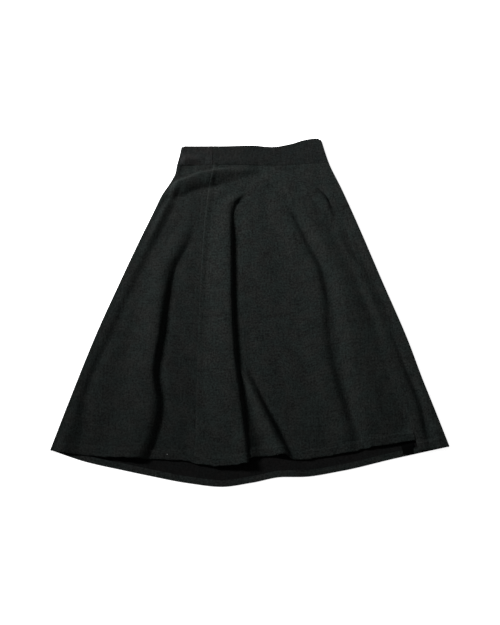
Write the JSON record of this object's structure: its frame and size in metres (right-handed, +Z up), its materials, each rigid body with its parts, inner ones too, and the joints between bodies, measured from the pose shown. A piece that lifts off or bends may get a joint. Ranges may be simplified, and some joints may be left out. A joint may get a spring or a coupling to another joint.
{
  "type": "maxi skirt",
  "caption": "Long flared black wool skirt with a straight waistband, laid flat with soft folds, its longer back hem showing below the front.",
  "frame": {"origin": "centre of the bounding box's bottom face, on the surface that the skirt lies on", "axes": "+X across the skirt to the viewer's right, +Y from hem to waist, +Z up from the surface"},
  "size_m": [0.971, 0.9196, 0.034],
  "materials": {
    "wool": "matt brushed wool cloth",
    "facing": "thin plain facing cloth"
  },
  "bodies": {
    "root": {"front_left_panel": "wool", "front_centre_panel": "wool", "front_right_panel": "wool", "back_left_panel": "wool", "back_centre_panel": "wool", "back_right_panel": "wool", "band_front_left": "wool", "band_front_centre": "wool", "band_front_right": "wool", "band_back": "wool", "vent_facing": "facing"}
  },
  "joints": []
}
